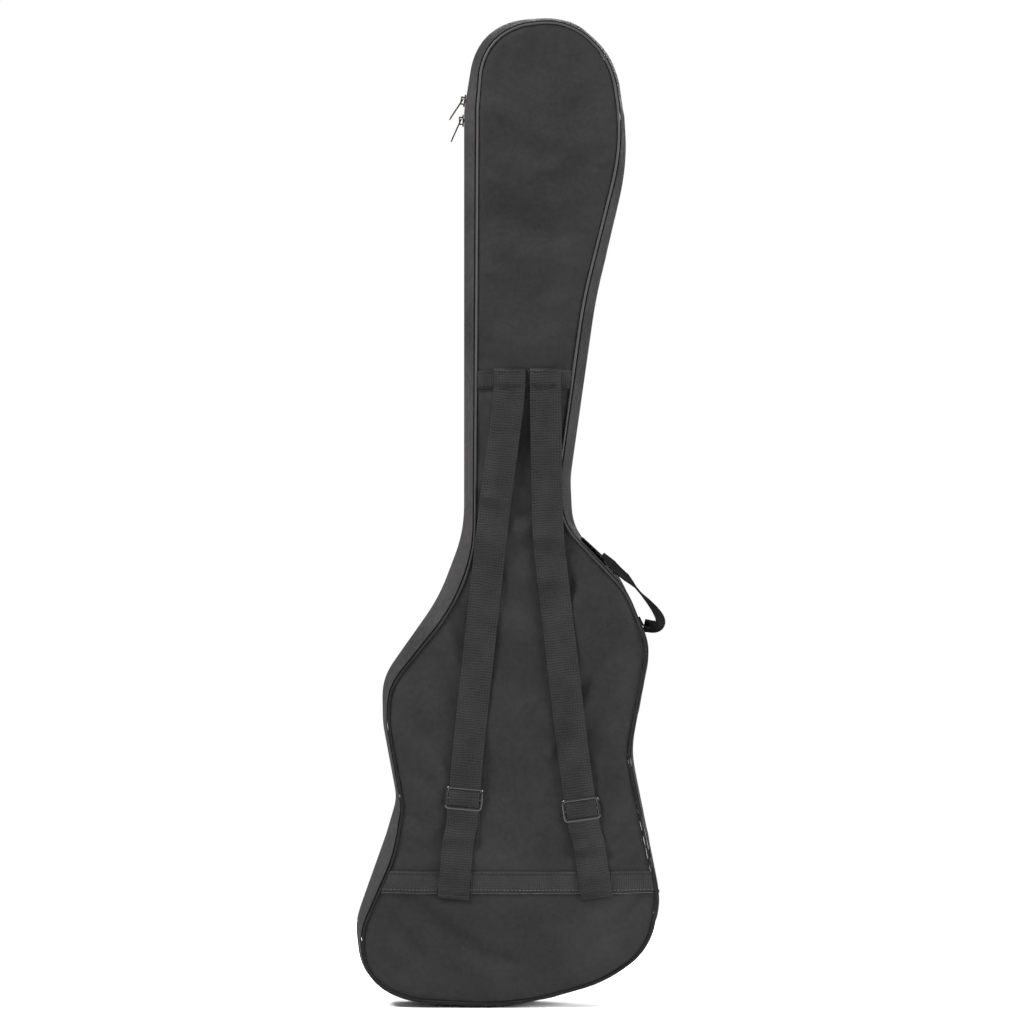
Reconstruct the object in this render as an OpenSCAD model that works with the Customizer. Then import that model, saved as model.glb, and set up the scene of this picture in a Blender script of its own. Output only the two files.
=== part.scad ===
// Padded gig bag for a bass guitar, standing head up, with two backpack straps.
// X is the bag's width, Y its depth (back panel at 0, front at +Y), Z its length.
// Origin: on the outer face of the back panel, at the strap anchors.
// Body joints: the lid swings open on the handle side; everything else rides on it or on the back.

/* [Bag] */
// depth from back panel to front panel
depth = 70; // [60:1:90]
// outer fabric thickness
skin_t = 1.2; // [0.8:0.1:2]
// padding thickness
foam_t = 5; // [3:0.5:10]
// lining thickness
lining_t = 0.8; // [0.5:0.1:1.5]
// width of the piping along the panel edges
piping_w = 3.4; // [2:0.1:5]
// how far the piping stands proud of the panels
piping_h = 2.4; // [1:0.1:4]

/* [Zip] */
// half of the slot that the slider's post runs in
zip_slot = 1; // [0.8:0.1:1.5]
// width of one coil
coil_w = 2.6; // [2:0.1:4]
// width of one zip tape
tape_w = 3.6; // [3:0.1:3.6]
// length of a slider
slider_l = 14; // [10:0.5:18]
// width of a slider
slider_w = 12; // [9:0.5:16]
// length of a pull
pull_l = 31; // [20:1:45]
// resting angle of the pulls away from the bag
pull_lean = 24; // [0:1:40]
// height of the lower slider
slider_z = 306; // [280:1:306]

/* [Straps] */
// strap webbing width
strap_w = 38; // [30:1:50]
// strap webbing thickness
strap_t = 1.8; // [1:0.1:3]
// height of the left strap's buckle
buckle_z = -519; // [-540:1:-480]
// how much lower the right strap's buckle sits
buckle_drop = 13; // [0:1:20]
// height where the strap tails end
tail_z = -640; // [-660:1:-600]
// width of a buckle
buckle_w = 47; // [42:1:60]
// height of a buckle
buckle_h = 29; // [22:1:36]

/* [Bands] */
// top of the strap anchor band
top_band_z = 0; // [-5:1:5]
// height of the strap anchor band
top_band_h = 23; // [18:1:40]
// top of the lower band
low_band_z = -606.5; // [-620:0.5:-590]
// height of the lower band
low_band_h = 27; // [20:1:40]
// thickness of both bands
band_t = 1.4; // [1:0.1:2]

/* [Handle] */
// handle webbing width
handle_w = 25; // [20:1:30]
// handle webbing thickness
handle_t = 2.4; // [1.5:0.1:4]

/* [Pocket] */
// margin of the pocket inside the front panel edge
pocket_margin = 26; // [15:1:50]
// top of the pocket
pocket_z = -430; // [-480:1:-380]
// depth of the pocket
pocket_d = 16; // [8:1:30]
// distance of the pocket zip below the pocket's top
pocket_zip_drop = 22; // [18:1:40]

/* [Hidden] */
mid = depth / 2;
front = depth + pocket_d;
arc_steps = 3;
harness_w = 110;
post_w = 1.2;
pull_pivot = [-4.9, 0, 1.2];
pocket_slider_x = -95;
pocket_zip_z = pocket_z - pocket_zip_drop;
foam_gap = 0.5;
padding = skin_t + foam_t + lining_t;
rear_depths = [padding, 18, mid - 7.4];
front_depths = [mid + 7.4, depth - 18, depth - padding];
hinge_top = -318;
hinge_low = -632;
// One row per corner of the outline, going down the left side and up the right:
// x and z at mid depth, x and z at the back edge, corner radius.
corners = [
    [-60, 423, -55, 413, 62],
    [-77, 318, -63, 316, 60],
    [-77, -195, -66, -215, 150],
    [-108, -277, -88, -284, 200],
    [-177, -375, -169, -384, 60],
    [-176, -430, -171, -430, 100],
    [-159, -521, -153, -530, 45],
    [-172, -565, -163, -590, 150],
    [-210, -672, -203, -680, 70],
    [-202, -737, -199, -737, 54],
    [-150, -767, -148, -765, 100],
    [-20, -774, -20, -772, 300],
    [100, -743, 100, -740, 150],
    [150, -698, 148, -698, 70],
    [160, -638, 159, -640, 80],
    [125, -463, 122, -467, 110],
    [149, -335, 147, -335, 60],
    [109, -246, 120, -268, 90],
    [54, -195, 42, -186, 60],
    [51, -130, 39, -130, 120],
    [82, 88, 69, 85, 600],
    [123, 262, 117, 277, 240],
    [105, 391, 101, 386, 88],
    [42, 432, 41, 426, 70],
];
strap_lines = [
    [[-22, -27.5], [-41, -170], [-72.5, -460], [-88, tail_z]],
    [[21, -27.5], [24, -200], [54, -460], [80, tail_z]],
];
// distance of a strap's middle from the back panel, at its top and at the left buckle
strap_lift = [3.2, 6];
handle_line = [
    [97, -222.5], [109, -237], [120, -250], [134, -266], [152, -283],
    [164, -299], [164, -313], [157, -320], [150, -317.5],
];
handle_tabs = [
    [[66, -203.4], [90, -225.6], [95.5, -221]],
    [[135.2, -300], [142.2, -315.5], [148.2, -316.4]],
];
fabric = [0.22, 0.22, 0.23];
webbing = [0.2, 0.2, 0.21];
foam = [0.35, 0.35, 0.37];
nylon = [0.12, 0.12, 0.13];
plastic = [0.05, 0.05, 0.05];
nickel = [0.75, 0.76, 0.77];
tape = [0.15, 0.15, 0.16];

function unit(v) = v / norm(v);
function side(v) = [v[1], -v[0]];
function turn_at(p, i) =
    let (n = len(p), a = unit(p[(i + 1) % n] - p[i]), b = unit(p[i] - p[(i + n - 1) % n]))
    atan2(b[0] * a[1] - b[1] * a[0], a * b);

// Points of the arc that rounds corner i of the polygon p with radius r.
function arc_at(p, i, r) =
    let (
        n = len(p),
        into = unit(p[i] - p[(i + n - 1) % n]),
        bend = turn_at(p, i),
        s = sign(bend),
        start = p[i] - into * r * tan(abs(bend) / 2),
        hub = start - s * r * side(into)
    )
    [for (k = [0:arc_steps])
        let (a = bend * k / arc_steps, v = start - hub)
        hub + [v[0] * cos(a) - v[1] * sin(a), v[0] * sin(a) + v[1] * cos(a)]];
function rounded(p) = [for (i = [0:len(p) - 1]) each arc_at(p, i, corners[i][4])];
function blend(p, q, t) = [for (i = [0:len(p) - 1]) p[i] + (q[i] - p[i]) * t];

mid_line = rounded([for (c = corners) [c[0], c[1]]]);
back_line = rounded([for (c = corners) [c[2], c[3]]]);
front_line = blend(back_line, mid_line, 0.6);

// Outline of the bag at depth y.
function line_at(y) = y <= mid ? blend(back_line, mid_line, sin(90 * y / mid))
    : blend(front_line, mid_line, sin(90 * (depth - y) / mid));
function inset(p, d) =
    let (n = len(p))
    [for (i = [0:n - 1]) p[i] - d * side(unit(p[(i + 1) % n] - p[(i + n - 1) % n]))];

// Outline of a band of width w along an open line.
function normal_at(p, i) = side(unit(p[min(i + 1, len(p) - 1)] - p[max(i - 1, 0)]));
function stroke(p, w) = concat(
    [for (i = [0:len(p) - 1]) p[i] + normal_at(p, i) * w / 2],
    [for (i = [len(p) - 1:-1:0]) p[i] - normal_at(p, i) * w / 2]);

// Flat piece in the X-Z plane between two depths.
module slab(y0, y1) {
    translate([0, y1, 0])
        rotate([90, 0, 0])
            linear_extrude(y1 - y0)
                children();
}

module ring(p, d0, d1) {
    difference() {
        polygon(inset(p, d0));
        polygon(inset(p, d1));
    }
}

// Wall that follows the bag's side through the depths ys, from inset d0 to inset d1.
// It goes round the whole bag, or over the outline's points first to first + count.
module side_wall(ys, d0, d1, first = 0, count = len(mid_line)) {
    n = len(mid_line);
    m = len(ys);
    walls = [for (d = [d0, d1]) each [for (y = ys)
        each [for (q = inset(line_at(y), d)) [q[0], y, q[1]]]]];
    function id(w, j, i) = (w * m + j) * n + (first + i) % n;
    function quad(a, b, c, d) = [[a, b, c], [a, c, d]];
    function end_cap(i) = [for (j = [0:m - 2])
        each quad(id(0, j, i), id(0, j + 1, i), id(1, j + 1, i), id(1, j, i))];
    polyhedron(walls, concat(
        [for (i = [0:count - 1]) each concat(
            [for (j = [0:m - 2]) each quad(id(0, j, i), id(0, j, i + 1), id(0, j + 1, i + 1), id(0, j + 1, i))],
            [for (j = [0:m - 2]) each quad(id(1, j, i), id(1, j + 1, i), id(1, j + 1, i + 1), id(1, j, i + 1))],
            quad(id(0, 0, i), id(1, 0, i), id(1, 0, i + 1), id(0, 0, i + 1)),
            quad(id(0, m - 1, i), id(0, m - 1, i + 1), id(1, m - 1, i + 1), id(1, m - 1, i)))],
        count < n ? concat(end_cap(0), [for (f = end_cap(count)) [f[0], f[2], f[1]]]) : []));
}

// Points of the outline where the foam round the body starts and where the foam round the neck does.
body_first = 9;
neck_first = 74;

// One depth of side foam, as a length round the body or a length round the neck and head.
module side_foam(ys, at_neck) {
    n = len(mid_line);
    first = at_neck ? neck_first : body_first;
    count = neck_first - body_first;
    color(foam)
        side_wall(ys, skin_t + foam_gap, skin_t + foam_t, first, at_neck ? n - count : count);
}

module above(z) {
    translate([-400, z])
        square([800, 900]);
}

module below(z) {
    translate([-400, z - 900])
        square([800, 900]);
}

module hinge_stretch() {
    translate([90, hinge_low])
        square([200, hinge_top - hinge_low]);
}

module back_face(d = piping_w) {
    polygon(inset(back_line, d));
}

module front_face(d = piping_w) {
    polygon(inset(front_line, d));
}

module back_panel_upper() {
    color(fabric)
        slab(0, skin_t)
            intersection() {
                back_face();
                above(top_band_z - top_band_h / 2);
            }
}

module back_panel_middle() {
    color(fabric)
        slab(0, skin_t)
            intersection() {
                back_face();
                above(low_band_z - low_band_h / 2);
                below(top_band_z - top_band_h / 2);
            }
}

module back_panel_lower() {
    color(fabric)
        slab(0, skin_t)
            intersection() {
                back_face();
                below(low_band_z - low_band_h / 2);
            }
}

module back_foam() {
    color(foam)
        slab(skin_t, skin_t + foam_t)
            back_face();
}

module back_lining() {
    color(nylon)
        slab(skin_t + foam_t, skin_t + foam_t + lining_t)
            back_face();
}

module back_piping() {
    color(plastic)
        slab(-piping_h, 1)
            ring(back_line, 0, piping_w);
}

module gusset_rear() {
    color(fabric)
        side_wall([1, 8, 18, mid - 5], 0, skin_t);
}

module body_foam_rear() {
    side_foam(rear_depths, false);
}

module neck_foam_rear() {
    side_foam(rear_depths, true);
}

module gusset_rear_lining() {
    color(nylon)
        side_wall(rear_depths, skin_t + foam_t, skin_t + foam_t + lining_t);
}

module zip_path(d0, d1) {
    difference() {
        ring(mid_line, d0, d1);
        hinge_stretch();
    }
}

module zip_tape_rear() {
    color(tape)
        slab(mid - zip_slot - 0.4 - tape_w, mid - zip_slot - 0.4)
            zip_path(skin_t, skin_t + 0.8);
}

module zip_coil_rear() {
    color(plastic)
        slab(mid - zip_slot - coil_w, mid - zip_slot)
            zip_path(-1, skin_t);
}

module side_hinge_rear() {
    color(fabric)
        slab(mid - 5, mid - 0.4)
            intersection() {
                ring(mid_line, 0, skin_t);
                hinge_stretch();
            }
}

module zip_end_stops() {
    color(nickel)
        for (z = [hinge_top + 1, hinge_low - 5])
            slab(mid - zip_slot - coil_w - 0.6, mid - zip_slot)
                intersection() {
                    ring(mid_line, -2.2, -1);
                    translate([90, z])
                        square([200, 4]);
                }
}

module harness_band() {
    color(webbing)
        slab(-band_t, 0)
            intersection() {
                back_face();
                translate([-harness_w, top_band_z - top_band_h])
                    square([2 * harness_w, top_band_h]);
            }
}

module lower_band() {
    color(webbing)
        slab(-band_t, 0)
            intersection() {
                back_face();
                translate([-300, low_band_z - low_band_h])
                    square([600, low_band_h]);
            }
}

module sewn_end(i) {
    top = strap_lines[i][0];
    color(webbing)
        slab(-band_t - strap_t, -band_t)
            translate([top[0] - strap_w / 2, top_band_z - top_band_h + 1.5])
                square([strap_w, top_band_h - 3]);
}

module strap_end_left() {
    sewn_end(0);
}

module strap_end_right() {
    sewn_end(1);
}

// Angle of a strap away from the back panel, in degrees.
strap_tilt = atan((strap_lift[1] - strap_lift[0]) / (strap_lines[0][0][1] - buckle_z));

module strap(i) {
    top_z = strap_lines[i][0][1];
    color(webbing)
        translate([0, -strap_lift[0], top_z])
            rotate([-strap_tilt, 0, 0])
                translate([0, 0, -top_z])
                    slab(-strap_t / 2, strap_t / 2)
                        polygon(stroke(strap_lines[i], strap_w));
}

module shoulder_strap_left() {
    strap(0);
}

module shoulder_strap_right() {
    strap(1);
}

// Point of a strap's centre line at height z on its last run.
function last_run(i, z) =
    let (a = strap_lines[i][2], b = strap_lines[i][3])
    a + (b - a) * (z - a[1]) / (b[1] - a[1]);
function run_angle(i) =
    let (v = strap_lines[i][3] - strap_lines[i][2])
    atan2(v[0], -v[1]);

module rounded_box(w, h, r) {
    for (s = [-1, 1])
        translate([s * (w / 2 - r), 0])
            square([2 * r, h - 2 * r], center = true);
    square([w - 2 * r, h], center = true);
    for (s = [-1, 1], t = [-1, 1])
        translate([s * (w / 2 - r), t * (h / 2 - r)])
            circle(r, $fn = 32);
}

function buckle_height(i) = buckle_z - i * buckle_drop;

module buckle(i) {
    at = last_run(i, buckle_height(i));
    slot = strap_w + 2;
    bar = 4.5;
    color(plastic)
        translate([at[0], 0, at[1]])
            rotate([0, -run_angle(i), 0]) {
                slab(-9.6, -7.4)
                    difference() {
                        rounded_box(buckle_w, buckle_h, 4);
                        square([slot, buckle_h - 2 * bar], center = true);
                    }
                slab(-7.4, -2.7)
                    for (s = [-1, 1])
                        translate([s * (slot + buckle_w) / 4, 0])
                            square([(buckle_w - slot) / 2, buckle_h - 10], center = true);
                slab(-4.7, -2.7)
                    square([buckle_w - 1, bar], center = true);
            }
}

module buckle_left() {
    buckle(0);
}

module buckle_right() {
    buckle(1);
}

module anchor_web(i) {
    color(webbing)
        slab(-2.2, -0.4)
            polygon(stroke([last_run(i, buckle_height(i) + 2), last_run(i, low_band_z + 3.6)], strap_w - 1));
}

module anchor_web_left() {
    anchor_web(0);
}

module anchor_web_right() {
    anchor_web(1);
}

module carry_handle() {
    color(webbing)
        slab(3, 3 + handle_w)
            polygon(stroke(handle_line, handle_t));
}

module handle_tab_upper() {
    color(webbing)
        slab(3, 3 + handle_w)
            polygon(stroke(handle_tabs[0], handle_t));
}

module handle_tab_lower() {
    color(webbing)
        slab(3, 3 + handle_w)
            polygon(stroke(handle_tabs[1], handle_t));
}

module front_panel() {
    color(fabric)
        slab(depth - skin_t, depth)
            front_face();
}

module front_foam() {
    color(foam)
        slab(depth - skin_t - foam_t, depth - skin_t)
            front_face();
}

module front_lining() {
    color(nylon)
        slab(depth - skin_t - foam_t - lining_t, depth - skin_t - foam_t)
            front_face();
}

module front_piping() {
    color(plastic)
        slab(depth - 1, depth + piping_h)
            ring(front_line, 0, piping_w);
}

module gusset_front() {
    color(fabric)
        side_wall([mid + 5, depth - 18, depth - 8, depth - 1], 0, skin_t);
}

module body_foam_front() {
    side_foam(front_depths, false);
}

module neck_foam_front() {
    side_foam(front_depths, true);
}

module gusset_front_lining() {
    color(nylon)
        side_wall(front_depths, skin_t + foam_t, skin_t + foam_t + lining_t);
}

module zip_tape_front() {
    color(tape)
        slab(mid + zip_slot + 0.4, mid + zip_slot + 0.4 + tape_w)
            zip_path(skin_t, skin_t + 0.8);
}

module zip_coil_front() {
    color(plastic)
        slab(mid + zip_slot, mid + zip_slot + coil_w)
            zip_path(-1, skin_t);
}

module side_hinge_front() {
    color(fabric)
        slab(mid + 0.4, mid + 5)
            intersection() {
                ring(mid_line, 0, skin_t);
                hinge_stretch();
            }
}

// Slider with its plates either side of the coils, running along Z, outer plate towards -X.
module slider() {
    translate([-3, -slider_w / 2, -slider_l / 2])
        cube([1.6, slider_w, slider_l]);
    translate([2.5, -slider_w / 2, -slider_l / 2])
        cube([1.4, slider_w, slider_l]);
    translate([-1.5, -post_w / 2, -2.5])
        cube([4.1, post_w, 5]);
    for (z = [-5, 3.4])
        translate([-7.4, -1.5, z])
            cube([4.5, 3, 1.6]);
    translate([-7.4, -1.5, -5])
        cube([1.4, 3, 10]);
}

// Flat pull whose long eye goes round the slider's bridge, in the slider's own frame.
module pull() {
    translate(pull_pivot)
        rotate([0, pull_lean, 0])
            translate([-0.7, 0, 0])
                rotate([0, 90, 0])
                    linear_extrude(1.4)
                        difference() {
                            union() {
                                translate([2, 0])
                                    circle(3.6, $fn = 48);
                                translate([2, -3.5])
                                    square([pull_l - 7, 7]);
                                translate([pull_l - 5, 0])
                                    circle(3.5, $fn = 48);
                            }
                            translate([0, -2.1])
                                square([9.4, 4.2]);
                            translate([pull_l - 5.5, 0])
                                circle(1.4, $fn = 32);
                        }
}

edge_x = corners[1][0];
edge_lean = atan((corners[0][0] - corners[1][0]) / (corners[0][1] - corners[1][1]));
upper_run = 12;

module on_upper_edge() {
    translate([edge_x, mid, corners[1][1]])
        rotate([0, edge_lean, 0])
            translate([0, 0, upper_run])
                children();
}

module zip_slider_lower() {
    color(nickel)
        translate([edge_x, mid, slider_z])
            slider();
}

module zip_slider_upper() {
    color(nickel)
        on_upper_edge()
            slider();
}

module zip_pull_lower() {
    color(nickel)
        translate([edge_x, mid, slider_z])
            pull();
}

module zip_pull_upper() {
    color(nickel)
        on_upper_edge()
            pull();
}

module pocket_line() {
    intersection() {
        front_face(pocket_margin);
        below(pocket_z);
    }
}

module pocket_core() {
    intersection() {
        front_face(pocket_margin + skin_t);
        below(pocket_z - skin_t);
    }
}

module pocket_gusset() {
    color(fabric)
        slab(depth, front - skin_t)
            difference() {
                pocket_line();
                pocket_core();
            }
}

module pocket_face() {
    color(fabric)
        slab(front - skin_t, front)
            intersection() {
                pocket_line();
                below(pocket_zip_z - 6);
            }
}

module pocket_top() {
    color(fabric)
        slab(front - skin_t, front)
            intersection() {
                pocket_line();
                above(pocket_zip_z + 6);
            }
}

module pocket_strips(y0, y1, z0, z1) {
    for (s = [-1, 1])
        slab(y0, y1)
            intersection() {
                pocket_core();
                translate([-300, pocket_zip_z + (s > 0 ? z0 : -z1)])
                    square([600, z1 - z0]);
            }
}

module pocket_zip_tape() {
    color(tape)
        pocket_strips(front - skin_t - 0.8, front - skin_t, zip_slot + 0.4, 9);
}

module pocket_zip_coil() {
    color(plastic)
        pocket_strips(front - skin_t, front + 1, zip_slot, zip_slot + coil_w);
}

// Turns the slider's frame so that it runs along the pocket zip, outer plate towards +Y.
module on_pocket_zip() {
    translate([pocket_slider_x, front, pocket_zip_z])
        rotate([0, 90, 0])
            rotate([0, 0, -90])
                children();
}

module pocket_slider() {
    color(nickel)
        on_pocket_zip()
            slider();
}

module pocket_pull() {
    color(nickel)
        on_pocket_zip()
            pull();
}

back_panel_upper();
back_panel_middle();
back_panel_lower();
back_foam();
back_lining();
back_piping();
gusset_rear();
body_foam_rear();
neck_foam_rear();
gusset_rear_lining();
zip_tape_rear();
zip_coil_rear();
side_hinge_rear();
zip_end_stops();
harness_band();
lower_band();
strap_end_left();
strap_end_right();
shoulder_strap_left();
shoulder_strap_right();
buckle_left();
buckle_right();
anchor_web_left();
anchor_web_right();
carry_handle();
handle_tab_upper();
handle_tab_lower();
front_panel();
front_foam();
front_lining();
front_piping();
gusset_front();
body_foam_front();
neck_foam_front();
gusset_front_lining();
zip_tape_front();
zip_coil_front();
side_hinge_front();
zip_slider_lower();
zip_slider_upper();
zip_pull_lower();
zip_pull_upper();
pocket_gusset();
pocket_face();
pocket_top();
pocket_zip_tape();
pocket_zip_coil();
pocket_slider();
pocket_pull();
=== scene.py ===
"""Padded bass gig bag seen from its strap side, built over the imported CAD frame."""

import math

import bmesh
import bpy
import numpy as np
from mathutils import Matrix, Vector, noise
from mathutils.bvhtree import BVHTree
from mathutils.geometry import delaunay_2d_cdt


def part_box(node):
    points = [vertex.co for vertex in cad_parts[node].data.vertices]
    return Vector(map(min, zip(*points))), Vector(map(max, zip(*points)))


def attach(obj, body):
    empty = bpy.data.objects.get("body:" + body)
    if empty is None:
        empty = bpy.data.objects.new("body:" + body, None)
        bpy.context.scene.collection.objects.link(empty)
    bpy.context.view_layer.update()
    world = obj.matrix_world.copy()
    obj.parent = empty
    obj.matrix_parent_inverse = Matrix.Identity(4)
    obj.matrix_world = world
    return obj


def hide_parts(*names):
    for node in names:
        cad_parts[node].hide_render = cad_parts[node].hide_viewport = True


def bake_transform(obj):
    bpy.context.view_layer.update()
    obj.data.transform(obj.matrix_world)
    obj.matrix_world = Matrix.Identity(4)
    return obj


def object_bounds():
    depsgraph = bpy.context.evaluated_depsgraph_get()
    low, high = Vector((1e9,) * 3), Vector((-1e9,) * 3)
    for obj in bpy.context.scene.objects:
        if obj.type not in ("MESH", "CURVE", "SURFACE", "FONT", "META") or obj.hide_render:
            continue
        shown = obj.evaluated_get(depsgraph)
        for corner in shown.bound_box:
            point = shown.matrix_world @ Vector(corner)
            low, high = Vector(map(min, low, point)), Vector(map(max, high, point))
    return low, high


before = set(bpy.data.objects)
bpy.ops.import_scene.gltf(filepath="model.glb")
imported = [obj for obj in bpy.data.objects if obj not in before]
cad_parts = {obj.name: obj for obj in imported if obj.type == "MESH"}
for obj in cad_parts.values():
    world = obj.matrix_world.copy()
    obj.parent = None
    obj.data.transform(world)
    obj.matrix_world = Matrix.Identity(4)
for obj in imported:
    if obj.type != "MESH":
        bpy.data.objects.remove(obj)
cad_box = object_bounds()

# Sizes in millimetres, as in the CAD.
DEPTH = 70
MID = DEPTH / 2
POCKET_DEPTH = 16
SKIN = 1.2
PIPING = 3.4
# Edges of the large panels and of the linings, measured inwards from the outline.
PANEL_INSET, LINING_INSET = PIPING - 1.2, 7.0
LINING_DEPTH = 7.2
# The cloth hinge: its two ends, and the x that all of it lies beyond.
HINGE_LOW, HINGE_TOP, HINGE_X = -632, -318, 90
BAND_TOP, BAND_HEIGHT = 0, 23
LOW_BAND_TOP, LOW_BAND_HEIGHT = -606.5, 27
STRAP_WIDTH, STRAP_TOP = 38, -27.5
# Depth of a strap's centre where it leaves the band, and how much further off it is at the buckle.
STRAP_DEPTH, STRAP_RISE = -3.2, 2.8
# Gaps from the panel's surface to a strap's centre: where it is sewn on, and where it lies loose.
SEWN_GAP, LOOSE_GAP = 1.9, 1.4
BUCKLE_HALF, BUCKLE_CORNER = (20.8, 12.2), 3.2
BUCKLE_Z = (-519, -532)
POCKET_MARGIN, POCKET_TOP, POCKET_ZIP = 26, -430, -452
HANDLE_WIDTH, HANDLE_DEPTH = 25, 15.5
TOOTH_PITCH = 2.1
# Distance of the gusset's edge stitching from the front or the back.
EDGE_SEAM = 4.5
# A height beyond either end of the bag.
BEYOND = 900
# Spacing of the points on the straight stretches of the outline.
OUTLINE_STEP = 7
# Outline corners, down the left side and up the right: x, z at mid depth, x, z at the back, radius.
CORNERS = [
    (-60, 423, -55, 413, 62),
    (-77, 318, -63, 316, 60),
    (-77, -195, -66, -215, 150),
    (-108, -277, -88, -284, 200),
    (-177, -375, -169, -384, 60),
    (-176, -430, -171, -430, 100),
    (-159, -521, -153, -530, 45),
    (-172, -565, -163, -590, 150),
    (-210, -672, -203, -680, 70),
    (-202, -737, -199, -737, 54),
    (-150, -767, -148, -765, 100),
    (-20, -774, -20, -772, 300),
    (100, -743, 100, -740, 150),
    (150, -698, 148, -698, 70),
    (160, -638, 159, -640, 80),
    (125, -463, 122, -467, 110),
    (149, -335, 147, -335, 60),
    (109, -246, 120, -268, 90),
    (54, -195, 42, -186, 60),
    (51, -130, 39, -130, 120),
    (82, 88, 69, 85, 600),
    (123, 262, 117, 277, 240),
    (105, 391, 101, 386, 88),
    (42, 432, 41, 426, 70),
]
STRAP_LINES = [
    [(-22, STRAP_TOP), (-41, -170), (-72.5, -460), (-88, -640)],
    [(21, STRAP_TOP), (24, -200), (54, -460), (80, -640)],
]
SIDES = ("left", "right")


# ---- outlines
def unit(v):
    """The vectors at length 1."""
    return v / np.linalg.norm(v, axis=-1, keepdims=True)


def outward(v):
    """Right-hand normal of 2D directions, which points out of a loop that runs anticlockwise."""
    return np.stack([v[..., 1], -v[..., 0]], -1)


def outline(first):
    """Rounded outline from the corner columns first and first + 1, with matching points in both."""
    p = np.array([c[first : first + 2] for c in CORNERS], float)
    mid = np.array([c[0:2] for c in CORNERS], float)
    counts = [max(2, round(np.hypot(*v) / OUTLINE_STEP)) for v in np.roll(mid, -1, 0) - mid]
    arcs = []
    for i, corner in enumerate(p):
        into = unit(corner - p[i - 1])
        out = unit(p[(i + 1) % len(p)] - corner)
        bend = math.atan2(into[0] * out[1] - into[1] * out[0], into @ out)
        r = CORNERS[i][4]
        start = corner - into * r * math.tan(abs(bend) / 2)
        hub = start - math.copysign(r, bend) * outward(into)
        angles = np.linspace(0, bend, 9)
        cos, sin = np.cos(angles), np.sin(angles)
        x, z = start - hub
        arcs.append(hub + np.stack([x * cos - z * sin, x * sin + z * cos], -1))
    line = []
    for i, arc in enumerate(arcs):
        line.append(arc)
        nxt = arcs[(i + 1) % len(arcs)][0]
        share = np.linspace(0, 1, counts[i] + 1)[1:-1, None]
        line.append(arc[-1] + (nxt - arc[-1]) * share)
    return np.concatenate(line)


def normals_of(line):
    """Outward normal at each point of a closed line."""
    return outward(unit(np.roll(line, -1, 0) - np.roll(line, 1, 0)))


def inset(line, d):
    """The closed line moved inwards by d."""
    return line - d * normals_of(line)


def eased(line, passes=4):
    """The line with its changes of curvature softened, as sewn cloth softens them."""
    for _ in range(passes):
        line = 0.25 * np.roll(line, 1, 0) + 0.5 * line + 0.25 * np.roll(line, -1, 0)
    return line


MID_LINE = eased(outline(0))
BACK_LINE = eased(outline(2))
FRONT_LINE = BACK_LINE + 0.6 * (MID_LINE - BACK_LINE)


def line_at(y):
    """The bag's outline at depth y."""
    if y <= MID:
        return BACK_LINE + (MID_LINE - BACK_LINE) * math.sin(math.pi / 2 * y / MID)
    return FRONT_LINE + (MID_LINE - FRONT_LINE) * math.sin(math.pi / 2 * (DEPTH - y) / MID)


def at_depth(line, y):
    """The 2D line as 3D points at depth y."""
    return np.column_stack([line[:, 0], np.full(len(line), y), line[:, 1]])


def lengths(points):
    """Distance along an open line of points."""
    return np.concatenate([[0], np.cumsum(np.linalg.norm(np.diff(points, axis=0), axis=1))])


def cut_line(line, low, high):
    """The closed outline clipped to low < z < high."""
    out = list(line)
    for level, keep in ((low, 1), (high, -1)):
        clipped = []
        for a, b in zip(out, out[1:] + out[:1]):
            inside_a, inside_b = keep * (a[1] - level) >= 0, keep * (b[1] - level) >= 0
            if inside_a:
                clipped.append(a)
            if inside_a != inside_b:
                clipped.append(a + (b - a) * (level - a[1]) / (b[1] - a[1]))
        out = clipped
    return np.array(out)


def rumple(p, size, seed):
    """Smooth noise from about -1 to 1 at a point in millimetres."""
    return noise.noise(Vector(p) / size + Vector((seed, 0, 0)))


# ---- mesh helpers
def placed(name, data):
    """New object of the scene that shows data."""
    obj = bpy.data.objects.new(name, data)
    bpy.context.scene.collection.objects.link(obj)
    return obj


def new_object(name, verts, faces, uvs):
    """Smooth mesh object in metres from millimetre points, or rows of them, and a UV for each."""
    mesh = bpy.data.meshes.new(name)
    mesh.from_pydata((np.asarray(verts, float).reshape(-1, 3) / 1000).tolist(), [], faces)
    loops = np.empty(len(mesh.loops), np.int32)
    mesh.loops.foreach_get("vertex_index", loops)
    places = np.asarray(uvs, float).reshape(-1, 2)[loops] / 1000
    mesh.uv_layers.new(name="UVMap").data.foreach_set("uv", places.ravel())
    mesh.polygons.foreach_set("use_smooth", [True] * len(mesh.polygons))
    mesh.update()
    return placed(name, mesh)


def grid_faces(rows, cols, closed, skip=None):
    """Quads of a grid whose columns may close into a ring; skip says which columns are left out."""
    last = cols if closed else cols - 1
    return [
        (a + c, a + (c + 1) % cols, a + cols + (c + 1) % cols, a + cols + c)
        for a in range(0, (rows - 1) * cols, cols)
        for c in range(last)
        if skip is None or not skip[c]
    ]


def prism_faces(base, rings, mirrored=False):
    """Faces of a closed six-sided rod whose rings of vertices start at index base."""
    faces = []
    for j in range(rings - 1):
        for k in range(6):
            a, b = base + j * 6 + k, base + j * 6 + (k + 1) % 6
            faces.append((b, a, a + 6, b + 6) if mirrored else (a, b, b + 6, a + 6))
    faces.append(tuple(base + k for k in reversed(range(6))))
    faces.append(tuple(base + (rings - 1) * 6 + k for k in range(6)))
    return faces


def drop_loose(obj):
    """Removes the vertices that no face uses."""
    bm = bmesh.new()
    bm.from_mesh(obj.data)
    bmesh.ops.delete(bm, geom=[v for v in bm.verts if not v.link_faces], context="VERTS")
    bm.to_mesh(obj.data)
    bm.free()


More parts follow.
